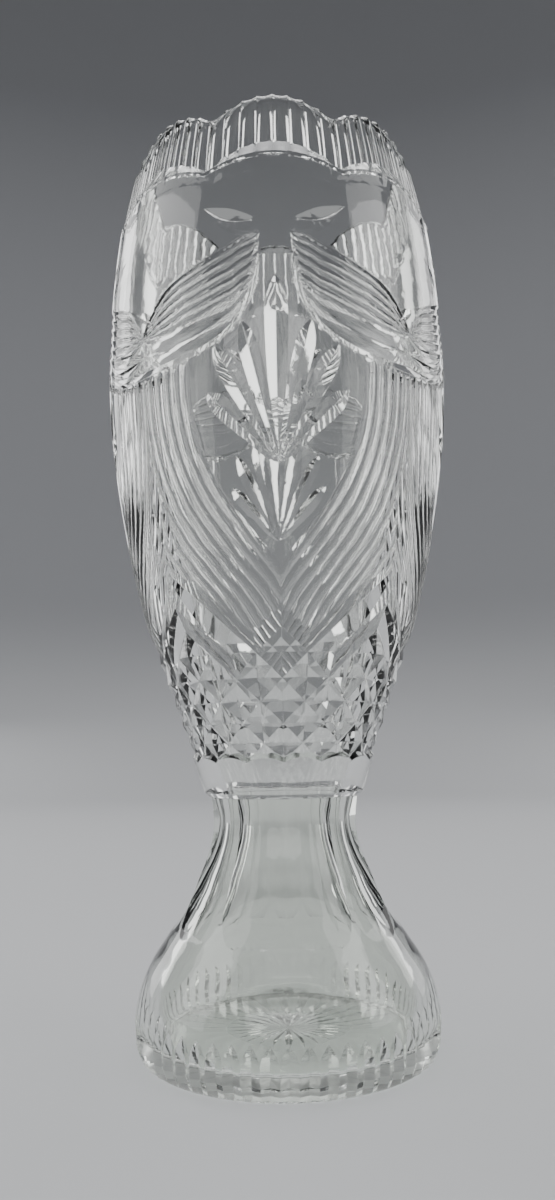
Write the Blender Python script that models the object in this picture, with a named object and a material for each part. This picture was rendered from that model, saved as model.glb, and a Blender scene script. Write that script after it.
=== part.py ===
"""Cut lead-crystal footed vase: a scalloped bowl, hot-joined at the waist to a hollow bell foot.

Metres, +Z up. The origin is the centre of the ring that the foot rests on, and the front faces -Y.
Angles run from the front, in degrees, towards +X. Each piece is a stack of rings joined into one
closed wall; the palm leaves on the bowl are then ground in with V-edged blades.
"""

import math

import bmesh
import bpy
from mathutils import Vector

# Driving dimensions of the whole vase
HEIGHT = 0.355
JOINT_HEIGHT = 0.094
JOINT_GAP = 0.0003
BORE_AT_JOINT = 0.0215

# Outlines as (height, radius), each read through a smooth curve
BOWL_OUTSIDE = (
    (0.0940, 0.0309),
    (0.1070, 0.0352),
    (0.1310, 0.0436),
    (0.1650, 0.0549),
    (0.2050, 0.0638),
    (0.2460, 0.0686),
    (0.2860, 0.0690),
    (0.3260, 0.0651),
    (HEIGHT, 0.0590),
)
BOWL_INSIDE = (
    (0.0940, BORE_AT_JOINT),
    (0.1070, 0.0265),
    (0.1390, 0.0385),
    (0.1725, 0.0485),
    (0.2050, 0.0555),
    (0.2460, 0.0610),
    (0.2860, 0.0615),
    (0.3260, 0.0585),
    (HEIGHT, 0.0535),
)
FOOT_OUTSIDE = (
    (0.0000, 0.0540),
    (0.0070, 0.0565),
    (0.0140, 0.0573),
    (0.0260, 0.0548),
    (0.0410, 0.0463),
    (0.0580, 0.0368),
    (0.0710, 0.0313),
    (0.0850, 0.0285),
    (JOINT_HEIGHT, 0.0294),
)
FOOT_INSIDE = (
    (0.0070, 0.0445),
    (0.0082, 0.0468),
    (0.0105, 0.0483),
    (0.0150, 0.0490),
    (0.0200, 0.0488),
    (0.0260, 0.0470),
    (0.0330, 0.0434),
    (0.0410, 0.0385),
    (0.0580, 0.0285),
    (0.0710, 0.0225),
    (0.0850, 0.0195),
    (JOINT_HEIGHT, BORE_AT_JOINT),
)
FLOOR_HEIGHT = 0.0062
FLOOR_RADIUS = 0.036
FLOOR_CORNER = (0.0415, 0.0064)
WAIST_CHAMFER = 0.0014

# Heights of the plain rings between the cut ones
BOWL_WALL_HEIGHTS = (0.1650, 0.1780, 0.1920, 0.2060, 0.2200, 0.2340)
ABOVE_SWAGS = 0.3060
BOWL_INSIDE_HEIGHTS = (0.3260, 0.3000, 0.2730, 0.2460, 0.2200, 0.1950, 0.1700)
THROAT_HEIGHTS = (0.1480, 0.1260, 0.1070)
BELL_HEIGHTS = (0.0260, 0.0335, 0.0400, 0.0450, 0.0510, 0.0580, 0.0650, 0.0720, 0.0790, 0.0860)
HOLLOW_HEIGHTS = (0.0850, 0.0760, 0.0680, 0.0580, 0.0480, 0.0380, 0.0290, 0.0200)
HOLLOW_HEIGHTS += (0.0150, 0.0105, 0.0082, 0.0070)

# Rim: scallops whose tops follow a shallow arch, and upright flutes
SCALLOPS = 8
SCALLOP_DEPTH = 0.0085
RIM_FLUTES = 64
RIM_FLUTE_DEPTH = 0.0012
RIM_SERRATION = 0.6
FLUTE_END_HEIGHT = 0.332
ARC_DEPTH = 0.0010
ARC_HEIGHT = 0.326
ARC_DROP = 0.004
ARC_HOLLOW_RISE = 0.003

# Drape: four swags, as heights at these angles from each gather
SWAGS = 4
SWAG_TOP = ((0.0, 0.2965), (9.3, 0.2937), (21.4, 0.2884), (35.9, 0.2770), (45.0, 0.2620))
SWAG_FOLD = ((0.0, 0.2900), (9.3, 0.2790), (24.5, 0.2660), (34.6, 0.2605), (45.0, 0.2590))
SWAG_HEM = ((0.0, 0.2835), (7.6, 0.2740), (17.3, 0.2590), (26.5, 0.2505), (45.0, 0.2470))
FOLD_DEPTH = 0.0012
LIP_HEIGHT = 0.0030
LIP_RISE = 0.0006
LIP_STEP = 0.001
BELOW_HEM = 0.004

# Diamonds: two families of grooves that cross on these heights
DIAMONDS = 16
DIAMOND_ROWS = (0.1546, 0.1457, 0.1364, 0.1288, 0.1210, 0.1144, 0.1071)
DIAMOND_DEPTH = 0.0018
BAND_TOP = 0.1045

# Palm: seven leaves from one root, as angle and height of each tip
PALM_ROOT_HEIGHT = 0.2110
PALM_TIPS = ((0.0, 0.2740), (10.3, 0.2590), (18.8, 0.2500), (21.4, 0.2345))
LEAF_DEPTH = 0.0021
LEAF_START = 0.12
LEAF_HALF_ANGLE = 66.0
LEAF_OVERRUN = 1.15
LEAF_STEPS = 8
BLADE_RISE = 0.006

# Ogive: grooves that frame each palm, as angle and height down one side of the innermost
OGIVES = 2
OGIVE_LINE = (
    (26.2, 0.2440),
    (25.3, 0.2290),
    (23.0, 0.2190),
    (20.1, 0.2100),
    (16.4, 0.2010),
    (11.0, 0.1920),
    (4.6, 0.1840),
    (-1.5, 0.1760),
)
OGIVE_PITCH = 4.1
OGIVE_SHIFT = 0.0030
OGIVE_DEPTH = 0.0012
OGIVE_HALF_ANGLE = 60.0
OGIVE_RUN_IN = 2.4
OGIVE_START_LIFT = 0.0003

# Foot: broad flutes below the joint, wedge cuts round the edge, a star underneath
FOOT_FLUTES = 10
FOOT_FLUTE_DEPTH = 0.0016
FOOT_FLUTE_END = 0.0450
FOOT_FLUTE_FADE = 0.0120
BASE_CUTS = 56
BASE_CUT_TOP = 0.0184
BASE_CUT_DEPTH = 0.0011
BASE_CUT_SHARES = ((0.0, 1.0), (0.0070, 1.0), (0.0130, 0.7), (BASE_CUT_TOP, 0.0))
RESTING_RING_INSIDE = 0.0490
RECESS_HEIGHT = 0.0020
RECESS_STEP = 0.0020
STAR_RAYS = 28
STAR_RADIUS = 0.0240
STAR_DEPTH = 0.0012
STAR_RIDGE_SHARE = 0.2
STAR_RAY_SHARE = 0.6

# Ring resolutions
RIM_POINTS = 2 * RIM_FLUTES
WALL_POINTS = 64
LATTICE_POINTS = 2 * DIAMONDS
FOOT_POINTS = 6 * FOOT_FLUTES
BASE_POINTS = 2 * BASE_CUTS
CREASE_ANGLE = math.radians(18)


def clear_scene():
    for obj in list(bpy.data.objects):
        bpy.data.objects.remove(obj, do_unlink=True)


def read_curve(points, at):
    """Value of a smooth curve through (at, value) points, its slopes taken from the neighbours."""
    for index in range(len(points) - 1):
        if at <= points[index + 1][0]:
            break
    (x0, y0), (x1, y1) = points[index], points[index + 1]
    before = points[max(index - 1, 0)]
    after = points[min(index + 2, len(points) - 1)]
    slope0 = (y1 - before[1]) / (x1 - before[0])
    slope1 = (after[1] - y0) / (after[0] - x0)
    span = x1 - x0
    t = min(max((at - x0) / span, 0.0), 1.0)
    start = (1 + 2 * t) * (1 - t) ** 2 * y0 + t * (1 - t) ** 2 * span * slope0
    end = t * t * (3 - 2 * t) * y1 + t * t * (t - 1) * span * slope1
    return start + end


def from_nearest(angle, repeats):
    """Angle in degrees from the nearest of the evenly spaced repeats, always positive."""
    pitch = 360.0 / repeats
    return abs((angle + pitch / 2) % pitch - pitch / 2)


def wave(angle, repeats):
    """0 on each of the evenly spaced repeats, 1 midway between two."""
    return from_nearest(angle, repeats) / (180.0 / repeats)


def point_at(angle, radius, height):
    turn = math.radians(angle)
    return Vector((radius * math.sin(turn), -radius * math.cos(turn), height))


def ring(mesh, count, place):
    """A ring of vertices, where place(angle) gives each one's (radius, height)."""
    angles = [360.0 * index / count for index in range(count)]
    return [mesh.verts.new(point_at(angle, *place(angle))) for angle in angles]


def join_rings(mesh, lower, upper, alternate=False):
    """Fills the strip between two rings, whose point counts may differ.

    With alternate, each square is split along the grooves that cross on every other point.
    """
    n, m = len(lower), len(upper)
    i = j = 0
    while i < n or j < m:
        a, b = lower[i % n], upper[j % m]
        next_a, next_b = lower[(i + 1) % n], upper[(j + 1) % m]
        if (i + 1) * m == (j + 1) * n and i * m == j * n:
            if alternate and (i % 2 == 0) == (alternate == "even"):
                mesh.faces.new((a, next_a, next_b))
                mesh.faces.new((a, next_b, b))
            elif alternate:
                mesh.faces.new((a, next_a, b))
                mesh.faces.new((next_a, next_b, b))
            else:
                mesh.faces.new((a, next_a, next_b, b))
            i, j = i + 1, j + 1
        elif j == m or (i < n and (i + 1) * m <= (j + 1) * n):
            mesh.faces.new((a, next_a, b))
            i += 1
        else:
            mesh.faces.new((a, next_b, b))
            j += 1


def close_with_fan(mesh, rim, height):
    centre = mesh.verts.new((0.0, 0.0, height))
    for index, vert in enumerate(rim):
        mesh.faces.new((vert, rim[(index + 1) % len(rim)], centre))


def finish_mesh(mesh, name):
    """Turns a bmesh into an object, with its faces out and its cut edges left crisp."""
    bmesh.ops.recalc_face_normals(mesh, faces=mesh.faces)
    data = bpy.data.meshes.new(name)
    mesh.to_mesh(data)
    mesh.free()
    data.shade_smooth()
    data.set_sharp_from_angle(angle=CREASE_ANGLE)
    obj = bpy.data.objects.new(name, data)
    bpy.context.scene.collection.objects.link(obj)
    return obj


def rim_outside(angle):
    """Top edge: an arch over each scallop, pulled in at every second point by the flutes."""
    arch = SCALLOP_DEPTH * wave(angle, SCALLOPS) ** 2
    height = HEIGHT - arch
    groove = RIM_FLUTE_DEPTH * (1 - wave(angle + 180.0 / RIM_FLUTES, RIM_FLUTES))
    return read_curve(BOWL_OUTSIDE, height) - groove, height - RIM_SERRATION * groove


def rim_inside(angle):
    height = HEIGHT - SCALLOP_DEPTH * wave(angle, SCALLOPS) ** 2
    return read_curve(BOWL_INSIDE, height), height


def flute_end(angle):
    """Foot of the rim flutes, on the upper edge of the arc under each scallop."""
    height = FLUTE_END_HEIGHT - ARC_DROP * wave(angle, SCALLOPS) ** 2
    groove = RIM_FLUTE_DEPTH * (1 - wave(angle + 180.0 / RIM_FLUTES, RIM_FLUTES))
    return read_curve(BOWL_OUTSIDE, height) - groove, height


def arc_hollow(angle):
    height = ARC_HEIGHT + ARC_HOLLOW_RISE - ARC_DROP * wave(angle, SCALLOPS) ** 2
    return read_curve(BOWL_OUTSIDE, height) - ARC_DEPTH, height


def arc_bottom(angle):
    height = ARC_HEIGHT - ARC_DROP * wave(angle, SCALLOPS) ** 2
    return read_curve(BOWL_OUTSIDE, height), height


def swag_line(points, rise=0.0, offset=0.0):
    """Ring that follows one line of the drape, at a height above it and a distance out of the wall."""

    def place(angle):
        height = read_curve(points, from_nearest(angle, SWAGS)) + rise
        return read_curve(BOWL_OUTSIDE, height) + offset, height

    return place


def plain_line(outline, height, offset=0.0):
    radius = read_curve(outline, height) + offset
    return lambda angle: (radius, height)


def lattice_line(row):
    """Ring on one height of the diamonds: deep where grooves cross, full between the crossings."""
    height = DIAMOND_ROWS[row]
    radius = read_curve(BOWL_OUTSIDE, height)

    def place(angle):
        share = wave(angle, DIAMONDS) if row % 2 == 0 else 1 - wave(angle, DIAMONDS)
        return radius - DIAMOND_DEPTH * (1 - share), height

    return place


def wall_point(angle, height):
    return point_at(angle, read_curve(BOWL_OUTSIDE, height), height)


def add_blade(mesh, path, depths, half_angle):
    """Adds a V-edged blade whose edge runs along path, (angle, height) pairs, at these depths."""
    points = [wall_point(angle, height) for angle, height in path]
    half_width = BLADE_RISE * math.tan(math.radians(half_angle))
    previous = None
    for index, (point, depth) in enumerate(zip(points, depths)):
        along = points[min(index + 1, len(points) - 1)] - points[max(index - 1, 0)]
        side = along.cross(Vector((point.x, point.y, 0))).normalized()
        outward = side.cross(along).normalized()
        edge = point - outward * depth
        top = edge + outward * BLADE_RISE
        section = [mesh.verts.new(p) for p in (edge, top + side * half_width, top - side * half_width)]
        if previous is None:
            mesh.faces.new(section)
        else:
            for k in range(3):
                mesh.faces.new((previous[k], previous[k - 1], section[k - 1], section[k]))
        previous = section
    mesh.faces.new(list(reversed(previous)))


def add_leaf(mesh, middle, tip_angle, tip_height):
    """One leaf of a palm: straight, deepest at mid length, running out of the wall at both ends."""
    path, depths = [], []
    for step in range(LEAF_STEPS + 1):
        reach = LEAF_OVERRUN * (2 * step / LEAF_STEPS - 1)
        share = LEAF_START + (1 - LEAF_START) * (1 + reach) / 2
        height = PALM_ROOT_HEIGHT + share * (tip_height - PALM_ROOT_HEIGHT)
        path.append((middle + share * tip_angle, height))
        depths.append(LEAF_DEPTH * (1 - reach**2))
    add_blade(mesh, path, depths, LEAF_HALF_ANGLE)


def add_ogive_side(mesh, middle, side, order):
    """One groove of an ogive, from beside the drape down across the centre line, tapered at the ends."""
    widen = order * OGIVE_PITCH
    path = [(side * (angle + widen), height - order * OGIVE_SHIFT) for angle, height in OGIVE_LINE]
    path = [(middle + angle, height) for angle, height in path]
    last = len(path) - 1
    depths = [OGIVE_DEPTH * min(1.0, OGIVE_RUN_IN * index / last) for index in range(last)]
    depths[0] = -OGIVE_START_LIFT
    depths.append(OGIVE_DEPTH / 2)
    add_blade(mesh, path, depths, OGIVE_HALF_ANGLE)


def cutter_from(mesh, name):
    cutter = finish_mesh(mesh, name)
    cutter.hide_render = True
    cutter.display_type = "WIRE"
    return cutter


def palm_cutter():
    """All the blades of the four palms, one palm under each gather of the drape."""
    mesh = bmesh.new()
    for palm in range(SWAGS):
        middle = palm * 360.0 / SWAGS
        add_leaf(mesh, middle, *PALM_TIPS[0])
        for angle, height in PALM_TIPS[1:]:
            add_leaf(mesh, middle, -angle, height)
            add_leaf(mesh, middle, angle, height)
    return cutter_from(mesh, "palm_cutter")


def ogive_cutter():
    """The grooves that frame each palm in a pointed arch, one inside the other."""
    mesh = bmesh.new()
    for palm in range(SWAGS):
        for order in range(OGIVES):
            add_ogive_side(mesh, palm * 360.0 / SWAGS, -1, order)
            add_ogive_side(mesh, palm * 360.0 / SWAGS, 1, order)
    return cutter_from(mesh, "ogive_cutter")


def crystal(name, colour):
    """Polished lead crystal: clear, neutral, and bright at every cut edge."""
    material = bpy.data.materials.new(name)
    material.use_nodes = True
    shader = material.node_tree.nodes["Principled BSDF"]
    shader.inputs["Base Color"].default_value = (*colour, 1.0)
    shader.inputs["Roughness"].default_value = 0.02
    shader.inputs["Metallic"].default_value = 0.0
    shader.inputs["IOR"].default_value = 1.545
    shader.inputs["Transmission Weight"].default_value = 1.0
    return material


def build_bowl():
    """Vessel above the waist: an open wall from the joint to the rim, cut outside, smooth inside."""
    bottom = JOINT_HEIGHT + JOINT_GAP
    mesh = bmesh.new()
    lattice = [lattice_line(row) for row in reversed(range(len(DIAMOND_ROWS)))]
    strips = [
        (LATTICE_POINTS, plain_line(BOWL_OUTSIDE, bottom, -WAIST_CHAMFER), False),
        (LATTICE_POINTS, plain_line(BOWL_OUTSIDE, bottom + WAIST_CHAMFER), False),
        (LATTICE_POINTS, plain_line(BOWL_OUTSIDE, BAND_TOP), False),
    ]
    for index, place in enumerate(lattice):
        strips.append((LATTICE_POINTS, place, "even" if index % 2 else "odd"))
    for height in BOWL_WALL_HEIGHTS:
        strips.append((WALL_POINTS, plain_line(BOWL_OUTSIDE, height), False))
    strips += [
        (WALL_POINTS, swag_line(SWAG_HEM, -BELOW_HEM), False),
        (WALL_POINTS, swag_line(SWAG_HEM, 0.0, LIP_RISE), False),
        (WALL_POINTS, swag_line(SWAG_HEM, LIP_HEIGHT, LIP_RISE), False),
        (WALL_POINTS, swag_line(SWAG_HEM, LIP_HEIGHT + LIP_STEP, -FOLD_DEPTH / 2), False),
        (WALL_POINTS, swag_line(SWAG_FOLD, 0.0, -FOLD_DEPTH), False),
        (WALL_POINTS, swag_line(SWAG_TOP), False),
        (WALL_POINTS, plain_line(BOWL_OUTSIDE, ABOVE_SWAGS), False),
        (WALL_POINTS, arc_bottom, False),
        (WALL_POINTS, arc_hollow, False),
        (RIM_POINTS, flute_end, False),
        (RIM_POINTS, rim_outside, False),
        (WALL_POINTS, rim_inside, False),
    ]
    for height in BOWL_INSIDE_HEIGHTS:
        strips.append((WALL_POINTS, plain_line(BOWL_INSIDE, height), False))
    for height in (*THROAT_HEIGHTS, bottom):
        strips.append((LATTICE_POINTS, plain_line(BOWL_INSIDE, height), False))
    rings = [ring(mesh, count, place) for count, place, _ in strips]
    for index in range(1, len(rings)):
        join_rings(mesh, rings[index - 1], rings[index], strips[index][2])
    join_rings(mesh, rings[-1], rings[0])
    return finish_mesh(mesh, "bowl")


def foot_flute_line(height):
    """Ring of the foot: broad hollows with a ridge at the front, fading out at FOOT_FLUTE_END."""
    radius = read_curve(FOOT_OUTSIDE, height)
    share = min(max((height - FOOT_FLUTE_END) / FOOT_FLUTE_FADE, 0.0), 1.0)

    def place(angle):
        hollow = 1 - (1 - wave(angle, FOOT_FLUTES)) ** 2
        return radius - FOOT_FLUTE_DEPTH * share * hollow, height

    return place


def base_cut_line(height, depth):
    """Ring near the base edge, pulled in at every second point by the wedge cuts."""
    radius = read_curve(FOOT_OUTSIDE, height)
    return lambda angle: (radius - depth * (1 - wave(angle, BASE_CUTS)), height)


def star_line(angle):
    """Ring half-way along the star, deep in each ray and nearly flush between two."""
    share = STAR_RIDGE_SHARE + STAR_RAY_SHARE * (1 - wave(angle, STAR_RAYS))
    return STAR_RADIUS / 2, RECESS_HEIGHT + STAR_DEPTH * share


def build_foot():
    """Hollow pedestal: fluted bell, glass floor, wedge-cut edge, and a star cut underneath."""
    mesh = bmesh.new()
    resting = RESTING_RING_INSIDE
    strips = [
        (2 * STAR_RAYS, star_line),
        (2 * STAR_RAYS, lambda angle: (STAR_RADIUS, RECESS_HEIGHT)),
        (FOOT_POINTS, lambda angle: (resting - RECESS_STEP, RECESS_HEIGHT)),
        (FOOT_POINTS, lambda angle: (resting, 0.0)),
    ]
    for height, share in BASE_CUT_SHARES:
        strips.append((BASE_POINTS, base_cut_line(height, BASE_CUT_DEPTH * share)))
    for height in (*BELL_HEIGHTS, JOINT_HEIGHT):
        strips.append((FOOT_POINTS, foot_flute_line(height)))
    for height in (JOINT_HEIGHT, *HOLLOW_HEIGHTS):
        strips.append((LATTICE_POINTS, plain_line(FOOT_INSIDE, height)))
    strips.append((LATTICE_POINTS, lambda angle: FLOOR_CORNER))
    strips.append((LATTICE_POINTS, lambda angle: (FLOOR_RADIUS, FLOOR_HEIGHT)))
    rings = [ring(mesh, count, place) for count, place in strips]
    for lower, upper in zip(rings, rings[1:]):
        join_rings(mesh, lower, upper)
    close_with_fan(mesh, rings[0], RECESS_HEIGHT + STAR_DEPTH)
    close_with_fan(mesh, rings[-1], FLOOR_HEIGHT)
    return finish_mesh(mesh, "foot")


def build_vase():
    clear_scene()
    bowl = build_bowl()
    for cutter in (palm_cutter(), ogive_cutter()):
        cut = bowl.modifiers.new(cutter.name, "BOOLEAN")
        cut.operation = "DIFFERENCE"
        cut.solver = "EXACT"
        cut.use_self = True
        cut.object = cutter
    bowl.data.materials.append(crystal("bowl_crystal", (0.93, 0.94, 0.92)))
    foot = build_foot()
    foot.data.materials.append(crystal("foot_crystal", (0.92, 0.94, 0.90)))


build_vase()
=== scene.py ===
import math

import bpy
import numpy as np
from mathutils import Matrix, Vector


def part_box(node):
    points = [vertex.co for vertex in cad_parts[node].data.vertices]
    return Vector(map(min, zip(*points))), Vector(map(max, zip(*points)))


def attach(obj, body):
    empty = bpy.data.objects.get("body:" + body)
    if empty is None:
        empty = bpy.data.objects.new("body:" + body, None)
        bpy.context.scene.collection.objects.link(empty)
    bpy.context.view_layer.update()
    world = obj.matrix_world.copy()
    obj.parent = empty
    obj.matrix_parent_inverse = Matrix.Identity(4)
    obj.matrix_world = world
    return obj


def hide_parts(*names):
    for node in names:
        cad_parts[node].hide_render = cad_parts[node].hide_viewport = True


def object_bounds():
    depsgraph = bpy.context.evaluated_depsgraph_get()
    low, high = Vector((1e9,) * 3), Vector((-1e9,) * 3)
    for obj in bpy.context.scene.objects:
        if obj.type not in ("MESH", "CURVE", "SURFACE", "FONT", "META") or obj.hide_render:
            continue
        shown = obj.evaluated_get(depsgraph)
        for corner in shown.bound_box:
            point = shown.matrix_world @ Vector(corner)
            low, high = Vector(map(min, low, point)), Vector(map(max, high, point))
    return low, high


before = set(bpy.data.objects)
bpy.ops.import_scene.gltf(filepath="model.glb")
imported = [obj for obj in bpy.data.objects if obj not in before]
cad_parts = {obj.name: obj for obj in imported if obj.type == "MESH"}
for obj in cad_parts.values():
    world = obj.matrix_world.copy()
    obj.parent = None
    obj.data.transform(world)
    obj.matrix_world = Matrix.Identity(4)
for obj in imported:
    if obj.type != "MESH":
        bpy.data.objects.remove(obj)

cadLow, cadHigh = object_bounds()

# Lengths below are in millimetres for a vase of nominalHeight, and angles in degrees from the front
nominalHeight = 355.0
mm = (cadHigh.z - cadLow.z) / nominalHeight
baseZ = cadLow.z
axisX = (cadLow.x + cadHigh.x) / 2
axisY = (cadLow.y + cadHigh.y) / 2
jointHeight = (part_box("foot")[1].z - baseZ) / mm
# the two fused faces stay this far apart, so that they never lie in one plane
jointGap = 0.02
bowlBottom = jointHeight + jointGap


def smoothCurve(points, at):
    # cubic through (x, y) points, each slope the chord of its two neighbours; flat outside the ends
    xs, ys = np.array(sorted(points), float).T
    slopes = np.empty_like(ys)
    slopes[1:-1] = (ys[2:] - ys[:-2]) / (xs[2:] - xs[:-2])
    slopes[0] = (ys[1] - ys[0]) / (xs[1] - xs[0])
    slopes[-1] = (ys[-1] - ys[-2]) / (xs[-1] - xs[-2])
    at = np.asarray(at, float)
    i = np.clip(np.searchsorted(xs, at) - 1, 0, len(xs) - 2)
    span = xs[i + 1] - xs[i]
    t = np.clip((at - xs[i]) / span, 0, 1)
    start = (1 + 2 * t) * (1 - t) ** 2 * ys[i] + t * (1 - t) ** 2 * span * slopes[i]
    end = t * t * (3 - 2 * t) * ys[i + 1] + t * t * (t - 1) * span * slopes[i + 1]
    return start + end


def fromNearest(angle, repeats):
    # degrees from the nearest of the evenly spaced repeats, always positive
    pitch = 360.0 / repeats
    return np.abs((angle + pitch / 2) % pitch - pitch / 2)


def wave(angle, repeats):
    # 0 on each of the evenly spaced repeats, rising in a straight line to 1 midway between two
    return fromNearest(angle, repeats) / (180.0 / repeats)


def hollow(share):
    # concave flute across 0..1: nothing on its two ridges, 1 in the middle, nothing outside
    return np.clip(1 - (2 * share - 1) ** 2, 0, 1)


def toXyz(angle, radius, height):
    # cylinder to metres: angle in degrees from the front, radius and height in millimetres
    turn = np.radians(angle)
    x = axisX + radius * np.sin(turn) * mm
    y = axisY - radius * np.cos(turn) * mm
    z = baseZ + height * mm
    return np.stack(np.broadcast_arrays(x, y, z), axis=-1)


def wheelCut(path, depth, above=0.5, below=0.5, runIn=0.5, runOut=0.5, steps=24):
    # one cut of a V-edged wheel along a smooth path of (angle, height) points, first point to last:
    # it comes up to depth over runIn of its length and rises out again over runOut, in a curve
    share = np.linspace(0, 1, len(path))
    t = np.linspace(0, 1, steps + 1)
    return dict(
        angle=smoothCurve([(s, p[0]) for s, p in zip(share, path)], t),
        height=smoothCurve([(s, p[1]) for s, p in zip(share, path)], t),
        t=t, depth=depth, above=above, below=below, runIn=runIn, runOut=runOut,
    )


def cutDepth(cut, angle, height, radius):
    # depth of one wheel cut at each wall point: the wheel's depth at the nearest place on its path,
    # less the distance to it times the slope of the flank on that side
    depth = np.zeros_like(angle)
    reach = cut["depth"] / min(cut["above"], cut["below"])
    bend = np.degrees(reach / radius)
    near = (angle > cut["angle"].min() - bend) & (angle < cut["angle"].max() + bend)
    near &= (height > cut["height"].min() - reach) & (height < cut["height"].max() + reach)
    if not near.any():
        return depth
    a, z, r = angle[near], height[near], radius[near]
    best = np.full(a.shape, 1e9)
    along = np.zeros(a.shape)
    side = np.zeros(a.shape)
    for k in range(len(cut["t"]) - 1):
        x0, z0 = np.radians(cut["angle"][k] - a) * r, cut["height"][k] - z
        x1, z1 = np.radians(cut["angle"][k + 1] - a) * r, cut["height"][k + 1] - z
        dx, dz = x1 - x0, z1 - z0
        u = np.clip(-(x0 * dx + z0 * dz) / (dx * dx + dz * dz), 0, 1)
        away = np.hypot(x0 + u * dx, z0 + u * dz)
        closer = away < best
        best = np.where(closer, away, best)
        along = np.where(closer, cut["t"][k] + u * (cut["t"][k + 1] - cut["t"][k]), along)
        side = np.where(closer, dx * z0 - dz * x0, side)
    rise = np.clip(along / cut["runIn"], 0, 1)
    fall = np.clip((1 - along) / cut["runOut"], 0, 1)
    lowered = cut["depth"] * np.minimum(1 - (1 - rise) ** 2, 1 - (1 - fall) ** 2)
    slope = np.where(side < 0, cut["above"], cut["below"])
    depth[near] = np.clip(lowered - best * slope, 0, None)
    return depth


bowlShape = dict(
    outside=[
        (94, 30.9), (107, 35.2), (131, 43.6), (165, 54.9), (205, 63.8),
        (246, 68.8), (286, 69.0), (326, 65.2), (355, 59.4),
    ],
    inside=[
        (94, 21.5), (107, 26.5), (139, 38.5), (172.5, 48.5), (205, 55.5),
        (246, 61.0), (286, 61.5), (326, 58.5), (355, 53.5),
    ],
    palms=4,
    columnsPerCircle=384,
    rows=236,
    insideColumns=128,
    insideRows=34,
    scallops=8,
    scallopDrop=9.0,
    blendFrom=300.0,
    waistChamfer=1.6,
    chamferSlope=0.8,
    carvedFrom=0.5,
    carvedTo=1.1,
    lipRound=0.9,
    insideStart=2.5,
)

rimShape = dict(
    flutes=64,
    fluteDepth=0.95,
    recess=1.0,
    arcHeight=326.5,
    arcDrop=5.5,
    rampAtJoint=1.0,
    rampAtMiddle=5.5,
    lineBelow=1.5,
    lineDepth=0.35,
    lineSlope=0.7,
    toothLow=0.7,
    toothRise=0.6,
)

drapeShape = dict(
    top=[
        (0, 296.5), (5, 293.3), (10.2, 291.5), (14.1, 288.9),
        (25.3, 283.2), (35.9, 277), (43.4, 267), (45, 264),
    ],
    bottom=[
        (0, 296), (4.7, 290), (5.3, 282), (7, 270), (10.3, 263),
        (13.5, 257.5), (23.4, 250.6), (35, 248.2), (45, 247.6),
    ],
    hemShare=[(0, 0.1), (8, 0.25), (16, 0.36), (28, 0.4), (36, 0.44), (43, 0.66), (45, 0.84)],
    folds=5,
    foldDepth=0.6,
    foldRecess=0.3,
    hemFolds=2,
    hemDepth=0.5,
    gatherAngle=5.2,
    edgeRun=2.2,
    fullDepthWidth=14.0,
    leastDepthShare=0.25,
    foldsStartShare=0.9,
)

ogiveShape = dict(
    line=[
        (254, 26.2), (240, 26.6), (228, 26.0), (214, 23.2), (201, 17.8), (189, 10.2),
        (178, 2.0), (168, -5.5), (157, -13), (145, -21), (133, -29),
    ],
    pitch=[(150, 3.9), (175, 4.1), (205, 4.3), (250, 4.6)],
    depth=0.62,
    runOut=0.5,
    hemGap=0.6,
)

latticeShape = dict(
    rows=[
        (185.5, -3), (175, -2), (164.6, -1), (154.8, 0), (145.8, 1), (137.0, 2),
        (128.8, 3), (121.2, 4), (114.2, 5), (107.6, 6), (101.5, 7),
    ],
    diamonds=16,
    depth=2.3,
    slope=0.36,
    topLine=2,
    leafEndsAt=45.0,
    leafFade=12.0,
    upperLinesStart=3.7,
    upperLinesRise=2.5,
    lastLine=-5,
    overlap=0.02,
    hem=107.2,
    hemArch=1.8,
    hemSlope=1.0,
)

# Cuts within one mirrored eighth of the bowl, as (angle, height) points
palmShape = dict(
    root=(0.0, 209.5),
    tips=[(0.0, 276.5, 2.3), (10.3, 260.5, 2.0), (18.8, 252.0, 2.0), (21.6, 235.6, 2.0)],
    flank=0.55,
    rays=[(4.6, 238.0), (11.6, 232.0), (15.5, 224.5)],
    rayDepth=0.8,
)
leafPairPath = [(5.4, 298.2), (11.5, 298.8), (17, 301.2), (22.2, 305.6)]
lancetPath = [(45, 182), (45, 222)]
sideLancetPath = [(40.3, 176), (41.2, 190), (42.3, 206)]
hemPath = [(4.9, 286), (6.6, 271), (13.5, 257.2), (24, 250.4), (36, 248.2), (48, 247.6), (60, 247.6)]


def cutList():
    # palm leaves deepest near their tips, rays between them, then the pair of leaves above the
    # drape, the lancets where two drapes meet, and a bevel along the drape's hem
    root, flank = palmShape["root"], palmShape["flank"]
    cuts = []
    for angle, height, depth in palmShape["tips"]:
        leaf = [root, (angle * 0.5, (root[1] + height) / 2), (angle, height)]
        cuts.append(wheelCut(leaf, depth, flank, flank, runIn=0.78, runOut=0.22))
    depth = palmShape["rayDepth"]
    for ray in palmShape["rays"]:
        cuts.append(wheelCut([root, ray], depth, flank, flank, runIn=0.3, runOut=0.7, steps=8))
    cuts.append(wheelCut(leafPairPath, depth=1.9, above=0.5, below=1.6))
    cuts.append(wheelCut(lancetPath, depth=1.6, above=0.6, below=0.6, steps=8))
    cuts.append(wheelCut(sideLancetPath, depth=1.4, above=0.6, below=0.6, steps=8))
    hem = wheelCut(hemPath, depth=1.1, above=0.5, below=1.5, runIn=0.08, runOut=0.1, steps=40)
    cuts.append(hem)
    return cuts


bowlCuts = cutList()


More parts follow.
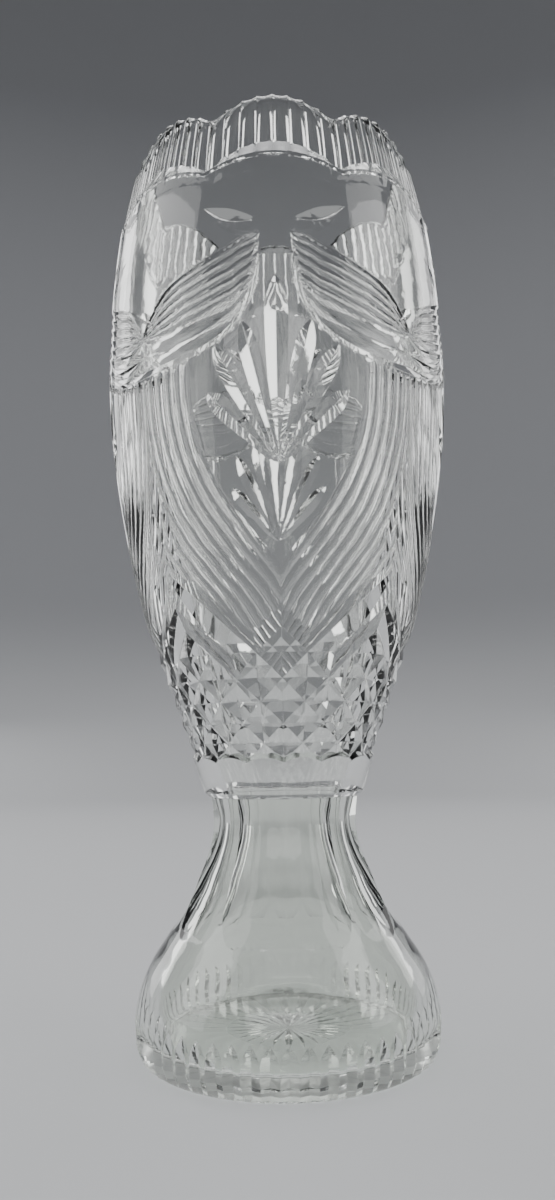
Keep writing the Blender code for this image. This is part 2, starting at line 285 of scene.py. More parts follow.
def rimDepth(angle, height):
    # upright flutes that come out of the wall over a ramp, whose foot is the arc under each scallop
    s = rimShape
    arch = wave(angle, bowlShape["scallops"]) ** 2
    arc = s["arcHeight"] - s["arcDrop"] * arch
    across = hollow((angle * s["flutes"] / 360.0) % 1.0)
    full = s["recess"] + s["fluteDepth"] * across
    length = s["rampAtMiddle"] + (s["rampAtJoint"] - s["rampAtMiddle"]) * arch
    middleDepth = s["recess"] + 0.5 * s["fluteDepth"]
    ramp = (height - arc) / length * middleDepth * (s["toothLow"] + s["toothRise"] * across)
    flutes = np.clip(np.minimum(full, ramp), 0, None)
    line = s["lineDepth"] - np.abs(height - arc + s["lineBelow"]) * s["lineSlope"]
    return np.maximum(flutes, np.clip(line, 0, None))


def stripes(share, count):
    # concave flutes side by side across 0..1
    return hollow((np.clip(share, 0, 0.9999) * count) % 1.0)


def drapeDepth(angle, height):
    # folds: concave flutes between lines that all leave the gather, drawn between the drape's top
    # edge and its plain hem
    s = drapeShape
    top = smoothCurve(s["top"], angle)
    bottom = smoothCurve(s["bottom"], angle)
    hem = bottom + (top - bottom) * smoothCurve(s["hemShare"], angle)
    width = np.maximum(top - hem, 0.01)
    share = (top - height) / width
    inFolds = (share > 0) & (share < 1) & (angle > s["gatherAngle"] * s["foldsStartShare"])
    scale = np.clip(width / s["fullDepthWidth"], s["leastDepthShare"], 1)
    edge = np.clip(np.minimum(share, 1 - share) * width / s["edgeRun"], 0, 1)
    fold = s["foldDepth"] * scale * stripes(share, s["folds"]) * np.clip(edge * 2, 0, 1)
    folds = np.where(inFolds, s["foldRecess"] * edge + fold, 0)
    hemShare = (hem - height) / np.maximum(hem - bottom, 0.01)
    inHem = (hemShare > 0) & (hemShare < 1) & (angle > s["gatherAngle"])
    hemWave = np.where(inHem, s["hemDepth"] * scale * stripes(hemShare, s["hemFolds"]), 0)
    return np.maximum(folds, hemWave), bottom


def latticeLines(angle, height):
    # which line of each family of helical grooves a point is on; an even number lies in a groove
    row = smoothCurve(latticeShape["rows"], height)
    step = 180.0 / latticeShape["diamonds"]
    return row + angle / step, row - angle / step


def latticeDepth(angle, height, radius):
    # two families of V grooves; above the field only the first long diagonal goes on, as a leaf
    s = latticeShape
    rising, falling = latticeLines(angle, height)
    perRow = smoothCurve(s["rows"], height + 0.5) - smoothCurve(s["rows"], height - 0.5)
    step = 180.0 / s["diamonds"]
    perMm = np.sqrt(perRow**2 + (1 / (step * np.radians(1) * radius)) ** 2)
    nearestRising = np.maximum(2 * np.round(rising / 2), s["topLine"])
    nearestFalling = 2 * np.round(falling / 2)
    leafTip = np.clip((s["leafEndsAt"] - angle) / s["leafFade"], 0, 1)
    keepRising = np.where(nearestRising == s["topLine"], np.sqrt(leafTip), 1)
    depthRising = s["depth"] * keepRising - np.abs(rising - nearestRising) / perMm * s["slope"]
    stops = np.clip((rising - s["upperLinesStart"]) * s["upperLinesRise"], 0, 1)
    keepFalling = np.where(nearestFalling <= -1, stops, 1)
    depthFalling = s["depth"] * keepFalling - np.abs(falling - nearestFalling) / perMm * s["slope"]
    depthFalling = np.where(falling < s["lastLine"], 0, depthFalling)
    hem = s["hem"] + s["hemArch"] * np.sin(np.pi * wave(angle, s["diamonds"]) / 2)
    ramp = (height - hem) * s["hemSlope"]
    return np.clip(np.minimum(np.maximum(depthRising, depthFalling), ramp), 0, None)


def ogiveDepth(angle, height, radius, hemLine):
    # concentric concave flutes beside a pointed arch, from the drape's hem down to the lattice
    s = ogiveShape
    line = smoothCurve(s["line"], height)
    turnPerMm = smoothCurve(s["line"], height + 0.5) - smoothCurve(s["line"], height - 0.5)
    slope = turnPerMm * np.radians(1) * radius
    away = np.radians(angle - line) * radius / np.sqrt(1 + slope**2)
    share = away / smoothCurve(s["pitch"], height)
    rising, falling = latticeLines(angle, height)
    overlap = latticeShape["overlap"]
    aboveLattice = (rising < latticeShape["topLine"] + overlap) & (falling < overlap)
    depth = np.where((share > 0) & aboveLattice, s["depth"] * hollow(share % 1.0), 0)
    room = (hemLine - s["hemGap"] - height) * s["runOut"]
    return np.clip(np.minimum(depth, room), 0, None)


def bowlDepth(angle, height, radius):
    # everything ground out of the bowl at each point of its outside: the deepest of its cuts, all
    # folded into one eighth, and of the chamfer on its lower edge
    folded = fromNearest(angle, bowlShape["palms"])
    drape, hemLine = drapeDepth(folded, height)
    depth = np.maximum(rimDepth(folded, height), drape)
    depth = np.maximum(depth, latticeDepth(folded, height, radius))
    depth = np.maximum(depth, ogiveDepth(folded, height, radius, hemLine))
    for cut in bowlCuts:
        depth = np.maximum(depth, cutDepth(cut, folded, height, radius))
    chamfer = (bowlShape["waistChamfer"] - height + bowlBottom) * bowlShape["chamferSlope"]
    return np.maximum(depth, chamfer)


def rimHeight(angle, height):
    # lowers the top of the wall into scallops, easing out down to blendFrom
    s = bowlShape
    drop = s["scallopDrop"] * wave(angle, s["scallops"]) ** 2
    share = np.clip((height - s["blendFrom"]) / (nominalHeight - s["blendFrom"]), 0, 1)
    return height - drop * share**2


# Carving, for both pieces: the step over which a slope is read, the pull to the middle of a cell, how
# far a vertex may move in it, how far inside a corner its normal is read, and the least agreement
# with the flat normal at which it is kept
slopeStep = 0.004
centrePull = 0.004
cellReach = 0.94
cornerInset = 0.3
leastAgreement = 0.85
creaseAngle = 28


def carve(edgeAngles, edgeHeights, outline, depthOf, warp):
    # One vertex per cell of the grid of edges. Each is drawn to where the tangent planes at the
    # cell's four corners meet, so that it lands on any crease that crosses the cell.
    angle, level = np.meshgrid(edgeAngles, edgeHeights, indexing="ij")
    height = warp(angle, level)
    scale = np.radians(1) * smoothCurve(outline, height)

    def surface(a, z):
        wall = smoothCurve(outline, z)
        return wall - depthOf(a, z, wall)

    here = surface(angle, height)
    slopeX = (surface(angle + slopeStep, height) - here) / (slopeStep * scale)
    slopeZ = (surface(angle, height + slopeStep) - here) / slopeStep

    def corners(grid):
        return np.stack([grid[:-1, :-1], grid[1:, :-1], grid[1:, 1:], grid[:-1, 1:]])

    a4, z4 = corners(angle), corners(height)
    a0, z0, s0 = a4.mean(0), z4.mean(0), corners(scale).mean(0)
    x4, y4 = (a4 - a0) * s0, z4 - z0
    gx, gy, h4 = corners(slopeX), corners(slopeZ), corners(here)
    offset = h4 - gx * x4 - gy * y4
    gx, gy, offset = gx - gx.mean(0), gy - gy.mean(0), offset - offset.mean(0)
    xx, yy, xy = (gx * gx).sum(0) + centrePull, (gy * gy).sum(0) + centrePull, (gx * gy).sum(0)
    bx, by = -(gx * offset).sum(0), -(gy * offset).sum(0)
    det = xx * yy - xy * xy
    x, y = (bx * yy - by * xy) / det, (by * xx - bx * xy) / det
    x = np.clip(x, x4.min(0) * cellReach, x4.max(0) * cellReach)
    y = np.clip(y, y4.min(0) * cellReach, y4.max(0) * cellReach)
    a, z = a0 + x / s0, z0 + y
    r = surface(a, z)

    # each square between four vertices is split along the diagonal that lies closer to the surface
    def miss(i, j, k, m):
        middle = surface((a[i, j] + a[k, m]) / 2, (z[i, j] + z[k, m]) / 2)
        return np.abs(middle - (r[i, j] + r[k, m]) / 2)

    low, high = slice(None, -1), slice(1, None)
    turned = miss(low, low, high, high) > miss(high, low, low, high)
    return a, z, r, turned, facetNormals(a, z, r, turned, surface)


def facetNormals(angle, height, radius, turned, surface):
    # Normal at each corner of each triangle, from the slope of the surface just inside that corner,
    # so that shading is smooth along a cut and breaks at its edges. Parts: outward, sideways, up.
    # Where a triangle spans a step its own flat normal stands instead.
    plain, other = np.array([[0, 1, 2], [0, 2, 3]]), np.array([[0, 1, 3], [1, 2, 3]])
    pick = np.where(turned[..., None, None], other, plain)

    def perCorner(grid):
        four = np.stack([grid[:-1, :-1], grid[1:, :-1], grid[1:, 1:], grid[:-1, 1:]], -1)
        return np.take_along_axis(four[..., None, :], pick, -1)

    a, z, r = perCorner(angle), perCorner(height), perCorner(radius)
    sa = a + cornerInset * (a.mean(-1, keepdims=True) - a)
    sz = z + cornerInset * (z.mean(-1, keepdims=True) - z)
    across = surface(sa + slopeStep, sz) - surface(sa - slopeStep, sz)
    sideways = across / (2 * np.radians(slopeStep) * r)
    upward = (surface(sa, sz + slopeStep) - surface(sa, sz - slopeStep)) / (2 * slopeStep)
    exact = np.stack([np.ones_like(sideways), -sideways, -upward], -1)
    exact /= np.linalg.norm(exact, axis=-1, keepdims=True)
    turn = np.radians(a)
    corner = np.stack([r * np.sin(turn), -r * np.cos(turn), z], -1)
    flat = np.cross(corner[..., 1, :] - corner[..., 0, :], corner[..., 2, :] - corner[..., 0, :])
    flat /= np.maximum(np.linalg.norm(flat, axis=-1, keepdims=True), 1e-12)
    flat = np.broadcast_to(flat[..., None, :], corner.shape)
    outward = flat[..., 0] * np.sin(turn) - flat[..., 1] * np.cos(turn)
    along = flat[..., 0] * np.cos(turn) + flat[..., 1] * np.sin(turn)
    flat = np.stack([outward, along, flat[..., 2]], -1)
    agrees = (exact * flat).sum(-1, keepdims=True) > leastAgreement
    return np.where(agrees, exact, flat)


def gridFaces(index, turned):
    # triangles of a grid of vertex numbers, columns first, whose faces look away from the axis
    a, b = index[:-1, :-1], index[1:, :-1]
    c, d = index[1:, 1:], index[:-1, 1:]
    plain = np.stack([a, b, c, a, c, d], -1)
    other = np.stack([a, b, d, b, c, d], -1)
    return np.where(turned[..., None], other, plain).reshape(-1, 3)


def stitch(fine, coarse):
    # triangles between a closed ring and one with a whole number of times fewer points, above it
    ratio = len(fine) // len(coarse)
    i = np.arange(len(fine))
    owner = ((i + ratio // 2) // ratio) % len(coarse)
    nextFine = np.roll(fine, -1)
    fans = np.stack([fine, nextFine, coarse[owner]], -1)
    k = np.arange(len(coarse))
    hinge = fine[(k * ratio + (ratio + 1) // 2) % len(fine)]
    return np.concatenate([fans, np.stack([hinge, np.roll(coarse, -1), coarse], -1)])


def mirrorRound(wedge, columns):
    # repeats a carved wedge right round the circle, mirrored about both its sides
    angle, height, radius, turned, normals = wedge
    half = len(angle) - 1
    column = np.arange(columns)
    place = column % (2 * half)
    back = (place > half)[:, None]
    source = np.where(place > half, 2 * half - place, place)
    turn = 360.0 * 2 * half / columns
    start = (column // (2 * half) * turn)[:, None]
    a = np.where(back, start + turn - angle[source], start + angle[source])
    forward = place < half
    cell = np.where(forward, place, 2 * half - 1 - place)
    flags = np.where(forward[:, None], turned[cell], ~turned[cell])
    mirrored = np.stack([normals[:, :, 0][:, :, [1, 0, 2]], normals[:, :, 1][:, :, [0, 2, 1]]], 2)
    mirrored = mirrored * [1, -1, 1]
    facets = np.where(forward[:, None, None, None, None], normals[cell], mirrored[cell])
    return a, height[source], radius[source], flags, facets


# surfaces of a piece, in the order of its materials
polishedFace, fusedFace, groundFace = 0, 1, 2


class Shell:
    # a closed surface put together ring by ring, with a finish and a normal kept for each triangle
    def __init__(self):
        self.points, self.faces, self.normals, self.finishes = [], [], [], []
        self.count = 0

    def add(self, angle, radius, height):
        points = toXyz(angle, radius, height).reshape(-1, 3)
        index = self.count + np.arange(len(points)).reshape(np.shape(angle))
        self.points.append(points)
        self.count += len(points)
        return index

    def ring(self, columns, radius, height):
        angle = np.arange(columns) * 360.0 / columns
        spread = np.zeros(columns)
        return self.add(angle, radius + spread, height + spread)

    def join(self, lower, upper, surface=polishedFace):
        # closes the band between two rings whose counts are equal or a whole number of times apart
        if len(lower) == len(upper):
            grid = np.stack([lower, upper], 1)
            grid = np.concatenate([grid, grid[:1]])
            faces = gridFaces(grid, np.zeros((len(lower), 1), bool))
        elif len(lower) > len(upper):
            faces = stitch(lower, upper)
        else:
            faces = stitch(upper, lower)[:, ::-1]
        self.keep(faces, surface)

    def keep(self, faces, surface=polishedFace, normals=None):
        # a normal of nothing leaves that corner to the usual smoothing
        self.faces.append(faces)
        self.finishes.append(np.full(len(faces), surface))
        self.normals.append(np.zeros((len(faces), 3, 3)) if normals is None else normals)

    def grid(self, index, turned=None, facets=None):
        ringed = np.concatenate([index, index[:1]])
        if turned is None:
            turned = np.zeros((index.shape[0], index.shape[1] - 1), bool)
        faces = gridFaces(ringed, turned)
        normals = None
        if facets is not None:
            spot = np.concatenate(self.points)[faces]
            out = spot[..., :2] - [axisX, axisY]
            out = out / np.linalg.norm(out, axis=-1, keepdims=True)
            part = facets.reshape(-1, 3, 3)
            across = np.stack([-out[..., 1], out[..., 0]], -1)
            level = part[..., :1] * out + part[..., 1:2] * across
            normals = np.concatenate([level, part[..., 2:]], -1)
        self.keep(faces, normals=normals)

    def cap(self, ring, centre):
        # a fan from the last ring to one point on the axis
        self.keep(np.stack([ring, np.roll(ring, -1), np.full(len(ring), centre)], -1))

    def finish(self, name, materials):
        points = np.concatenate(self.points)
        faces = np.concatenate(self.faces)
        mesh = bpy.data.meshes.new(name)
        mesh.vertices.add(len(points))
        mesh.vertices.foreach_set("co", points.ravel())
        mesh.loops.add(faces.size)
        mesh.loops.foreach_set("vertex_index", faces.ravel())
        mesh.polygons.add(len(faces))
        mesh.polygons.foreach_set("loop_start", np.arange(0, faces.size, 3))
        mesh.polygons.foreach_set("loop_total", np.full(len(faces), 3))
        for material in materials:
            mesh.materials.append(material)
        finishes = np.concatenate(self.finishes).astype(np.int32)
        mesh.polygons.foreach_set("material_index", finishes)
        mesh.update(calc_edges=True)
        mesh.polygons.foreach_set("use_smooth", np.ones(len(mesh.polygons), bool))
        mesh.set_sharp_from_angle(angle=math.radians(creaseAngle))
        mesh.normals_split_custom_set(np.concatenate(self.normals).reshape(-1, 3).tolist())
        piece = bpy.data.objects.new(name, mesh)
        bpy.context.scene.collection.objects.link(piece)
        print(name, len(mesh.polygons), "triangles")
        return piece


def waistOutline(angle):
    # radius of the foot's fluted top, where the two pieces are fused
    flat = np.full(np.shape(angle), jointHeight)
    radius = smoothCurve(footShape["outside"], flat)
    return radius - footDepth(angle, flat, radius)


def buildBowl(materials):
    s = bowlShape
    columns, half = s["columnsPerCircle"], s["columnsPerCircle"] // (2 * s["palms"])
    step = 360.0 / columns
    edgeAngles = (np.arange(half + 2) - 0.5) * step
    lowest, highest = bowlBottom + s["carvedFrom"], nominalHeight - s["carvedTo"]
    edgeHeights = np.linspace(lowest, highest, s["rows"] + 1)
    wedge = carve(edgeAngles, edgeHeights, s["outside"], bowlDepth, rimHeight)
    angle, height, radius, flags, facets = mirrorRound(wedge, columns)

    # chamfered lower edge, then the carved outside
    shell = Shell()
    edgeRadius = smoothCurve(s["outside"], bowlBottom) - s["waistChamfer"] * s["chamferSlope"]
    bottom = shell.add(angle[:, 0], np.full(columns, edgeRadius), np.full(columns, bowlBottom))
    outer = shell.add(angle, radius, height)
    shell.join(bottom, outer[:, 0])
    shell.grid(outer, flags, facets)

    # rim, rounded on both sides
    topAngle = angle[:, -1]
    topHeight = rimHeight(topAngle, np.full(columns, nominalHeight))
    insideTop = smoothCurve(s["inside"], topHeight)
    cut = smoothCurve(s["outside"], topHeight) - rimDepth(fromNearest(topAngle, s["palms"]), topHeight)
    bevel = shell.add(topAngle, cut - s["lipRound"], topHeight)
    lip = shell.add(topAngle, insideTop + s["lipRound"], topHeight)
    inner = shell.add(topAngle, insideTop, topHeight - s["lipRound"])
    shell.join(outer[:, -1], bevel)
    shell.join(bevel, lip)
    shell.join(lip, inner)

    # smooth inside, down to the joint and the ledge that stands out round it
    count = s["insideColumns"]
    levels = np.linspace(nominalHeight - s["insideStart"], bowlBottom, s["insideRows"])
    insideAngle, level = np.meshgrid(np.arange(count) * 360.0 / count, levels, indexing="ij")
    insideHeight = rimHeight(insideAngle, level)
    insideHeight[:, -1] = bowlBottom
    inside = shell.add(insideAngle, smoothCurve(s["inside"], insideHeight), insideHeight)
    shell.join(inner, inside[:, 0])
    shell.grid(inside)
    around = np.arange(columns) * step
    ledge = shell.add(around, waistOutline(around), np.full(columns, bowlBottom))
    shell.join(inside[:, -1], ledge, fusedFace)
    shell.join(ledge, bottom)
    return shell.finish("bowl_visual", materials)


footShape = dict(
    outside=[
        (0, 56.6), (3, 56.9), (7.5, 57.2), (14, 57.4), (19, 56.9), (26, 54.9), (33.5, 51.3), (41, 46.3),
        (48, 41.7), (58, 36.8), (64.5, 34.2), (71, 31.4), (78, 29.2), (85, 28.5), (94, 29.4),
    ],
    inside=[
        (6.5, 46.0), (7.1, 47.3), (8.6, 48.3), (11, 48.8), (15, 49.0), (20, 48.8), (26, 47.0),
        (33, 43.4), (41, 38.5), (58, 28.5), (71, 22.5), (85, 19.5), (94, 21.5),
    ],
    mirrors=2,
    carvedFrom=0.6,
    carvedTo=0.4,
    columnsPerCircle=448,
    rows=110,
    insideColumns=112,
    insideRows=30,
    flutes=10,
    fluteDepth=1.8,
    fluteFrom=44.0,
    fluteFull=54.0,
    baseCuts=56,
    baseCutDepth=1.5,
    baseCutSlope=0.47,
    baseCutTop=18.3,
    baseArch=6.0,
    baseArchPower=1.6,
    chamferHeight=5.4,
    chamferReach=1.6,
    restingOut=53.6,
    restingIn=49.0,
    recessEdge=47.4,
    recess=2.0,
    turnUp=20.0,
    turnRows=12,
    turnStart=0.92,
    floorRings=[(44.4, 6.25), (36.0, 6.2), (14.0, 6.15)],
    floorMiddle=6.1,
    starRays=28,
    starRadius=24.0,
    starRows=[1.5, 4, 8, 12, 16, 19, 21.5, 23.2, 24.0],
    starDepth=1.2,
    starSlope=0.55,
    starTaper=0.6,
    leastRayWidth=0.02,
    mostRayShare=0.97,
)


def footDepth(angle, height, radius):
    # ten hollow flutes down the waist, rounded at their feet, and a belt of upright wedge cuts
    # with pointed tops that run over the chamfered edge of the base
    s = footShape
    begun = np.clip((height - s["fluteFrom"]) / (s["fluteFull"] - s["fluteFrom"]), 0, 1)
    full = s["fluteDepth"] * np.sqrt(begun)
    reach = np.pi * radius / s["flutes"]
    across = (1 - wave(angle, s["flutes"])) * reach
    flutes = np.clip(full - across**2 * s["fluteDepth"] / reach**2, 0, None)
    half = np.pi * radius / s["baseCuts"]
    share = wave(angle, s["baseCuts"]) * half
    rise = np.clip((s["baseCutTop"] - height) / s["baseArch"], 0, 1)
    arch = 1 - (1 - rise) ** s["baseArchPower"]
    wedge = s["baseCutDepth"] * arch - share * s["baseCutSlope"]
    chamfer = np.clip(s["chamferHeight"] - height, 0, None) / s["chamferHeight"] * s["chamferReach"]
    return np.maximum(flutes, np.clip(wedge, 0, None)) + chamfer


def addStar(shell):
    # Star cut under the floor: each ray a V groove, deepest at the middle, whose flanks fall by
    # starSlope until they meet the next ray's. Returns the outermost ring.
    s = footShape
    centre = shell.add(np.zeros(1), np.zeros(1), np.full(1, s["recess"] + s["starDepth"]))[0]
    pitch = 360.0 / s["starRays"]
    rows = np.array(s["starRows"])
    ray, row = np.meshgrid(np.arange(s["starRays"]), rows, indexing="ij")
    end = np.clip((s["starRadius"] - row) / (s["starRadius"] * s["starTaper"]), 0, 1)
    depth = s["starDepth"] * np.sqrt(end)
    halfPitch = np.radians(pitch / 2) * row
    width = np.clip(depth / s["starSlope"], s["leastRayWidth"], halfPitch * s["mostRayShare"])
    spare = np.clip(depth - width * s["starSlope"], 0, None)
    turn = np.degrees(width / row)
    middle = ray * pitch
    angle = np.stack([middle, middle + turn, (ray + 0.5) * pitch, (ray + 1) * pitch - turn], 1)
    height = s["recess"] + np.stack([depth, spare, spare, spare], 1)
    angle, height = angle.reshape(-1, len(rows)), height.reshape(-1, len(rows))
    star = shell.add(angle, np.broadcast_to(rows, angle.shape), height)
    shell.cap(star[:, 0][::-1], centre)
    shell.grid(star)
    return star[:, -1]


def buildFoot(materials):
    s = footShape
    columns, half = s["columnsPerCircle"], s["columnsPerCircle"] // (2 * s["mirrors"])
    edgeAngles = (np.arange(half + 2) - 0.5) * 360.0 / columns
    edgeHeights = np.linspace(s["carvedFrom"], jointHeight - s["carvedTo"], s["rows"] + 1)

    def folded(angle, height, radius):
        return footDepth(fromNearest(angle, s["mirrors"]), height, radius)

    wedge = carve(edgeAngles, edgeHeights, s["outside"], folded, lambda angle, level: level)
    angle, height, radius, flags, facets = mirrorRound(wedge, columns)
    shell = Shell()
    count = s["insideColumns"]

    # underside, from the star out to the resting ring
    starEdge = addStar(shell)
    edge = shell.ring(count, s["recessEdge"], s["recess"])
    resting = shell.ring(count, s["restingIn"], 0.0)
    restingOut = shell.ring(columns, s["restingOut"], 0.0)
    shell.join(starEdge, edge, groundFace)
    shell.join(edge, resting, groundFace)
    shell.join(resting, restingOut, groundFace)

    # carved outside, up to the joint
    outer = shell.add(angle, radius, height)
    shell.join(restingOut, outer[:, 0])
    shell.grid(outer, flags, facets)
    topAngle = angle[:, -1]
    top = shell.add(topAngle, waistOutline(topAngle), np.full(columns, jointHeight))
    shell.join(outer[:, -1], top)

    # bore and hollow, with closer rows where the wall turns into the floor
    low = s["inside"][0][0]
    levels = np.linspace(jointHeight, s["turnUp"], s["insideRows"])
    turning = np.linspace(s["turnStart"], 0, s["turnRows"]) ** 2
    levels = np.append(levels, low + (s["turnUp"] - low) * turning)
    insideAngle, insideHeight = np.meshgrid(np.arange(count) * 360.0 / count, levels, indexing="ij")
    inside = shell.add(insideAngle, smoothCurve(s["inside"], insideHeight), insideHeight)
    shell.join(top, inside[:, 0], fusedFace)
    shell.grid(inside)
    previous = inside[:, -1]
    for ringRadius, ringHeight in s["floorRings"]:
        following = shell.ring(count, ringRadius, ringHeight)
        shell.join(previous, following)
        previous = following
    middle = shell.add(np.zeros(1), np.zeros(1), np.full(1, s["floorMiddle"]))[0]
    shell.cap(previous, middle)
    return shell.finish("foot_visual", materials)


def linear(hexColour):
    # sRGB hex to the linear values that a shader takes, with nothing see-through
    channels = [int(hexColour[i : i + 2], 16) / 255 for i in (1, 3, 5)]
    return [c / 12.92 if c <= 0.04045 else ((c + 0.055) / 1.055) ** 2.4 for c in channels] + [1.0]


def addNode(tree, kind, settings=None, inputs=None):
    # one node: attributes from settings, sockets from inputs, each a value or another node's output
    node = tree.nodes.new(kind)
    for name, value in (settings or {}).items():
        setattr(node, name, value)
    for name, value in (inputs or {}).items():
        if isinstance(value, bpy.types.NodeSocket):
            tree.links.new(value, node.inputs[name])
        else:
            node.inputs[name].default_value = value
    return node


crystalLook = dict(
    tint="#FBFCFA",
    ior=1.545,
    waveSize=7.0,
    waveStrength=0.006,
    grindSize=0.9,
    grindStrength=0.004,
    edgeRounding=0.4,
    shadowTint="#EEEFEF",
    groundRoughness=0.3,
    footTint="#F6F9F4",
    footPolish=0.8,
)


def leadCrystal(name, tint, polish, roughness=0.0):
    # Lead crystal, wheel cut and acid polished: clear and brilliant, its faces not quite flat, which
    # makes a reflection swim a little. Its edges catch the light because they are rounded. Light
    # reaches what is behind it as through a pale filter. The underside, ground on a flat wheel and
    # left matt, has some roughness, so that it scatters what comes through it.
    look = crystalLook
    material = bpy.data.materials.new(name)
    material.use_nodes = True
    tree = material.node_tree
    tree.nodes.clear()
    place = addNode(tree, "ShaderNodeTexCoord").outputs["Object"]
    perMetre = 1000.0

    def unevenness(size, detail, strength, under=None):
        # noise of this size in millimetres, as bumps on whatever normal is under it
        noise = {"Vector": place, "Scale": perMetre / size, "Detail": detail}
        bumps = addNode(tree, "ShaderNodeTexNoise", inputs=noise).outputs[0]
        inputs = {"Height": bumps, "Strength": strength * polish, "Distance": size / perMetre}
        if under is not None:
            inputs["Normal"] = under
        return addNode(tree, "ShaderNodeBump", inputs=inputs).outputs[0]

    swell = unevenness(look["waveSize"], 1.0, look["waveStrength"])
    edges = {"Radius": look["edgeRounding"] / perMetre, "Normal": swell}
    rounded = addNode(tree, "ShaderNodeBevel", dict(samples=4), edges).outputs[0]
    fine = unevenness(look["grindSize"], 2.0, look["grindStrength"], rounded)
    body = addNode(tree, "ShaderNodeBsdfPrincipled", inputs={
        "Base Color": linear(tint), "Roughness": roughness, "IOR": look["ior"],
        "Transmission Weight": 1.0, "Normal": fine,
    })
    clear = addNode(tree, "ShaderNodeBsdfTransparent", inputs={"Color": linear(look["shadowTint"])})
    shadow = addNode(tree, "ShaderNodeLightPath").outputs["Is Shadow Ray"]
    either = {0: shadow, 1: body.outputs[0], 2: clear.outputs[0]}
    mix = addNode(tree, "ShaderNodeMixShader", inputs=either)
    output = addNode(tree, "ShaderNodeOutputMaterial")
    tree.links.new(mix.outputs[0], output.inputs["Surface"])
    return material


def fusedCrystal(name):
    # hot-joined glass: no air between the two pieces, so light goes straight through the joint
    material = bpy.data.materials.new(name)
    material.use_nodes = True
    body = material.node_tree.nodes["Principled BSDF"]
    body.inputs["Base Color"].default_value = linear("#FFFFFF")
    body.inputs["Roughness"].default_value = 0.0
    body.inputs["IOR"].default_value = 1.0
    body.inputs["Transmission Weight"].default_value = 1.0
    return material


print("materials")
tint, footTint = crystalLook["tint"], crystalLook["footTint"]
bowlCrystal = leadCrystal("lead crystal, wheel cut and polished", tint, 1.0)
footPolish, groundRoughness = crystalLook["footPolish"], crystalLook["groundRoughness"]
footCrystal = leadCrystal("lead crystal, blown foot with cut base", footTint, footPolish)
groundCrystal = leadCrystal("lead crystal, ground flat underneath", footTint, 1.0, groundRoughness)
joint = fusedCrystal("lead crystal, fused at the waist")

print("bowl")
bowl = buildBowl([bowlCrystal, joint])
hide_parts("bowl")
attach(bowl, "root")

print("foot")
foot = buildFoot([footCrystal, joint, groundCrystal])
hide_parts("foot")
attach(foot, "root")


stageLook = dict(
    innerRings=[0.02, 0.5, 1.0],
    floorRadius=1.5,
    bend=0.9,
    wallHeight=3.4,
    bendSteps=17,
    columns=96,
    floorColour="#C0C1C3",
    wallColour="#939497",
    fadeFrom=0.03,
    fadeTo=0.55,
    floorGap=0.0001,
)


def studioPaper():
    # matt studio paper, pale on the floor and darker up the wall, so that the glass stands out
    s = stageLook
    material = bpy.data.materials.new("matt studio paper")
    material.use_nodes = True
    tree = material.node_tree
    tree.nodes.clear()
    place = addNode(tree, "ShaderNodeTexCoord").outputs["Object"]
    rise = addNode(tree, "ShaderNodeSeparateXYZ", inputs={"Vector": place}).outputs["Z"]
    ends = {"Value": rise, "From Min": baseZ + s["fadeFrom"], "From Max": baseZ + s["fadeTo"]}
    fade = addNode(tree, "ShaderNodeMapRange", dict(interpolation_type="SMOOTHSTEP"), ends)
    colour = addNode(tree, "ShaderNodeMix", dict(data_type="RGBA"), {"Factor": fade.outputs[0]})
    # sockets 6 and 7 are the two colours
    colour.inputs[6].default_value = linear(s["floorColour"])
    colour.inputs[7].default_value = linear(s["wallColour"])
    matt = {"Base Color": colour.outputs[2], "Roughness": 0.9, "Specular IOR Level": 0.2}
    body = addNode(tree, "ShaderNodeBsdfPrincipled", inputs=matt)
    output = addNode(tree, "ShaderNodeOutputMaterial")
    tree.links.new(body.outputs[0], output.inputs["Surface"])
    return material


def buildStage():
    # round studio sweep: a flat disc that curves up into a wall
    s = stageLook
    count = s["columns"]
    turn = np.linspace(0, np.pi / 2, s["bendSteps"])
    curve = s["floorRadius"] + s["bend"] * np.sin(turn)
    radius = np.concatenate([s["innerRings"], curve, [s["floorRadius"] + s["bend"]]])
    flat = [0] * len(s["innerRings"])
    rise = np.concatenate([flat, s["bend"] * (1 - np.cos(turn)), [s["wallHeight"]]])
    around = np.arange(count) * 2 * np.pi / count
    floorZ = baseZ - s["floorGap"]
    x, y = np.outer(np.sin(around), radius), -np.outer(np.cos(around), radius)
    points = np.stack([x, y, np.broadcast_to(rise + floorZ, (count, len(rise)))], -1)
    index = np.arange(count * len(rise)).reshape(count, -1)
    ringed = np.concatenate([index, index[:1]])
    faces = gridFaces(ringed, np.zeros((count, len(rise) - 1), bool))[:, ::-1]
    first = index[:, 0]
    middle = np.stack([first, np.roll(first, -1), np.full(count, count * len(rise))], -1)
    mesh = bpy.data.meshes.new("studio_floor")
    vertices = np.concatenate([points.reshape(-1, 3), [[0, 0, floorZ]]])
    mesh.from_pydata(vertices.tolist(), [], np.concatenate([faces, middle]).tolist())
    mesh.polygons.foreach_set("use_smooth", np.ones(len(mesh.polygons), bool))
    mesh.update()
    mesh.materials.append(studioPaper())
    floor = bpy.data.objects.new("studio_floor", mesh)
    bpy.context.scene.collection.objects.link(floor)
    return floor


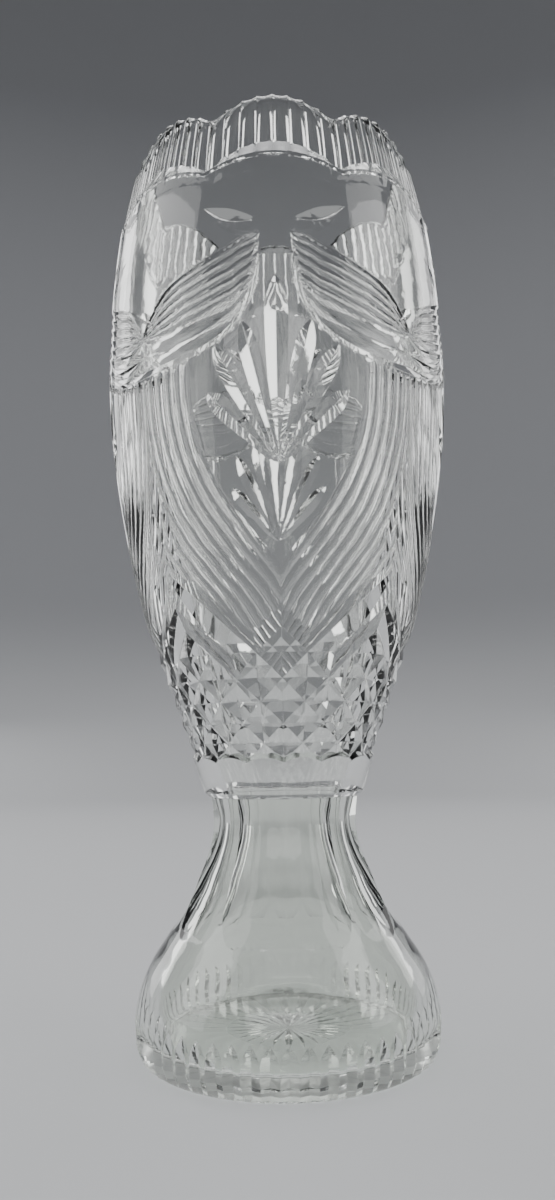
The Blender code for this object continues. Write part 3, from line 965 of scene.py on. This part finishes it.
# place in metres, width, height and watts; all of them aim at the middle of the vase
studioLights = dict(
    overhead=((0.0, 0.1, 2.3), 1.8, 1.6, 34),
    side_left=((-1.7, -0.3, 0.9), 1.2, 1.5, 11),
    side_right=((1.7, -0.5, 0.9), 0.9, 1.5, 9),
    back_left=((-1.2, 1.1, 0.75), 0.5, 1.5, 4.5),
    back_right=((1.3, 1.0, 0.75), 0.5, 1.5, 3),
    rim_left=((-0.66, 1.6, 0.9), 0.18, 1.3, 1.7),
    rim_right=((0.82, 1.52, 0.9), 0.22, 1.3, 2.0),
    front=((-0.2, -2.1, 0.75), 2.1, 0.9, 12),
)


def softbox(name, aim, place, width, height, power):
    # a rectangular studio light, not seen by the camera itself but seen through the glass
    light = bpy.data.lights.new(name, "AREA")
    light.shape = "RECTANGLE"
    light.size, light.size_y = width, height
    light.energy = power
    lamp = bpy.data.objects.new(name, light)
    bpy.context.scene.collection.objects.link(lamp)
    lamp.location = place
    lamp.rotation_euler = (Vector(aim) - Vector(place)).to_track_quat("-Z", "Y").to_euler()
    lamp.visible_camera = False


print("stage and light")
buildStage()
middleOfVase = (0, 0, baseZ + 0.18)
for name, light in studioLights.items():
    softbox(name, middleOfVase, *light)
airLook = dict(colour="#E6E8EA", strength=0.4)
world = bpy.data.worlds.new("studio air")
world.use_nodes = True
background = world.node_tree.nodes["Background"]
background.inputs["Color"].default_value = linear(airLook["colour"])
background.inputs["Strength"].default_value = airLook["strength"]
bpy.context.scene.world = world

print("camera")
cameraView = dict(
    lens=27.32,
    sensorWidth=36.0,
    nearest=0.01,
    place=(-1.27, -366.5, 115.2),
    pitchUp=8.744,
    roll=-1.015,
)
camera = bpy.data.objects.new("camera", bpy.data.cameras.new("camera"))
bpy.context.scene.collection.objects.link(camera)
camera.data.lens = cameraView["lens"]
camera.data.sensor_width = cameraView["sensorWidth"]
camera.data.clip_start = cameraView["nearest"]
sideways, back, up = cameraView["place"]
camera.location = [axisX + sideways * mm, axisY + back * mm, baseZ + up * mm]
tilt = Matrix.Rotation(math.radians(90 + cameraView["pitchUp"]), 3, "X")
camera.rotation_euler = (tilt @ Matrix.Rotation(math.radians(cameraView["roll"]), 3, "Z")).to_euler()
bpy.context.scene.camera = camera
